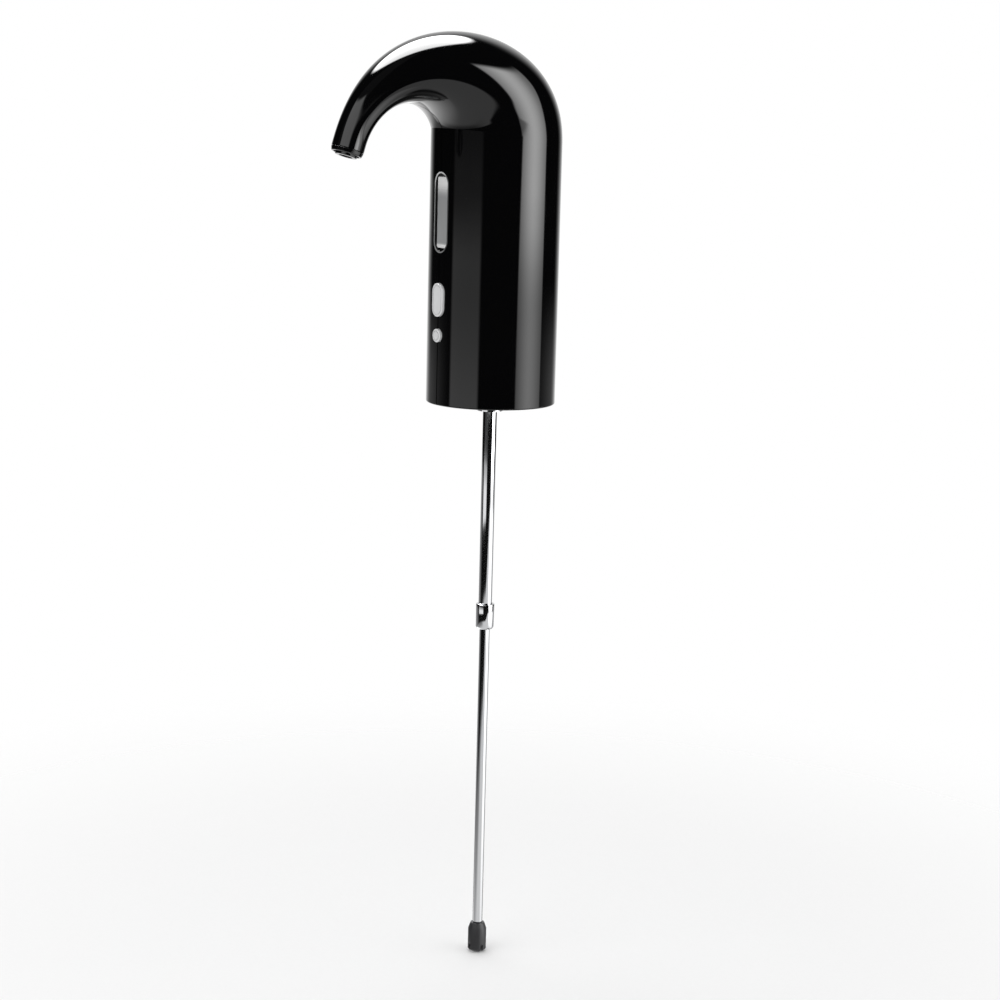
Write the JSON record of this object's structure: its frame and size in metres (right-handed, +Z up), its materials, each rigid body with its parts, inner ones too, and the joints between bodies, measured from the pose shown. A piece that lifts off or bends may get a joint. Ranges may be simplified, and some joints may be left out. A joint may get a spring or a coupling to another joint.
{
  "type": "electric wine decanter",
  "caption": "Battery wine decanter: a hooked gloss casing on a bottle stopper, with a gear pump, dip tube, sight window and push buttons.",
  "frame": {"origin": "on the bottle's axis in the plane of the bottle's lip, where the stopper's flange rests", "axes": "+Z up along the bottle's axis, spout towards -Y, X across; the casing is symmetric about X = 0"},
  "size_m": [0.06, 0.1162, 0.436],
  "materials": {
    "gloss_black": "polished black moulding",
    "satin_black": "fine satin moulding",
    "screw_steel": "plain zinc-plated steel",
    "dark_silicone": "soft matt silicone",
    "clear_silicone": "milky soft hose",
    "tube_steel": "drawn stainless steel, nearly mirror bright",
    "pale_plastic": "plain pale moulding",
    "gear_plastic": "plain pale moulding",
    "motor_steel": "plated sheet steel",
    "ferrite": "dull ferrite",
    "copper_winding": "wound copper over a steel core",
    "terminal_brass": "plain brass",
    "cell_wrap": "shrink wrap",
    "board_green": "solder mask",
    "silver_satin": "silver metallised moulding, satin",
    "clear_plastic": "clear moulding",
    "nozzle_chrome": "bright plated"
  },
  "bodies": {
    "body": {"casing_right": "gloss_black", "casing_left": "gloss_black", "base_cover": "satin_black", "base_screws": "screw_steel", "bottle_stopper": "dark_silicone", "inlet_stem": "tube_steel", "stem_nut": "screw_steel", "suction_hose": "clear_silicone", "pump_cover": "pale_plastic", "pump_gasket": "dark_silicone", "pump_body": "pale_plastic", "pump_screws": "screw_steel", "pump_mount_screws": "screw_steel", "idler_pin": "screw_steel", "shaft_seal": "dark_silicone", "motor_can": "motor_steel", "motor_magnets": "ferrite", "motor_end_cap": "satin_black", "motor_terminals": "terminal_brass", "chassis": "satin_black", "chassis_screws": "screw_steel", "battery": "cell_wrap", "control_board": "board_green", "board_screws": "screw_steel", "power_switch": "satin_black", "mode_switch": "satin_black", "window_bezel": "gloss_black", "window_lens": "clear_plastic", "sight_tube": "clear_plastic", "sight_inlet": "pale_plastic", "sight_outlet": "pale_plastic", "delivery_hose": "clear_silicone", "spout_hose": "clear_silicone", "nozzle_insert": "gloss_black", "aerator_disc": "nozzle_chrome", "nozzle_collar": "gloss_black", "charge_board": "board_green", "charge_socket": "motor_steel"},
    "power_button": {"power_button": "silver_satin", "power_plunger": "gear_plastic"},
    "mode_button": {"mode_button": "silver_satin", "mode_plunger": "gear_plastic"},
    "rotor": {"motor_shaft": "screw_steel", "armature": "copper_winding", "drive_gear": "gear_plastic"},
    "idler": {"idler_gear": "gear_plastic"},
    "dip_tube": {"dip_tube_upper": "tube_steel", "tube_collar": "tube_steel"},
    "tube_tip": {"dip_tube_lower": "tube_steel", "tube_foot": "satin_black"}
  },
  "joints": [
    {"name": "power_press", "type": "slide", "parent": "body", "child": "power_button", "axis": [0, 1, 0], "range_m": [0, 0.0008], "stiffness_N_per_m": 900},
    {"name": "mode_press", "type": "slide", "parent": "body", "child": "mode_button", "axis": [0, 1, 0], "range_m": [0, 0.0008], "stiffness_N_per_m": 900},
    {"name": "rotor_spin", "type": "hinge", "parent": "body", "child": "rotor", "pos_m": [0.005, 0.0045, 0.03], "axis": [0, 0, 1], "continuous": true},
    {"name": "idler_spin", "type": "hinge", "parent": "body", "child": "idler", "pos_m": [0.005, -0.0045, 0.03], "axis": [0, 0, 1], "continuous": true},
    {"name": "tube_pull", "type": "slide", "parent": "body", "child": "dip_tube", "axis": [0, 0, -1], "range_m": [0, 0.02]},
    {"name": "tube_slide", "type": "slide", "parent": "dip_tube", "child": "tube_tip", "axis": [0, 0, 1], "range_m": [0, 0.113]}
  ],
  "couplings": [
    {"joint": "idler_spin", "follows": "rotor_spin", "ratio": -1}
  ]
}
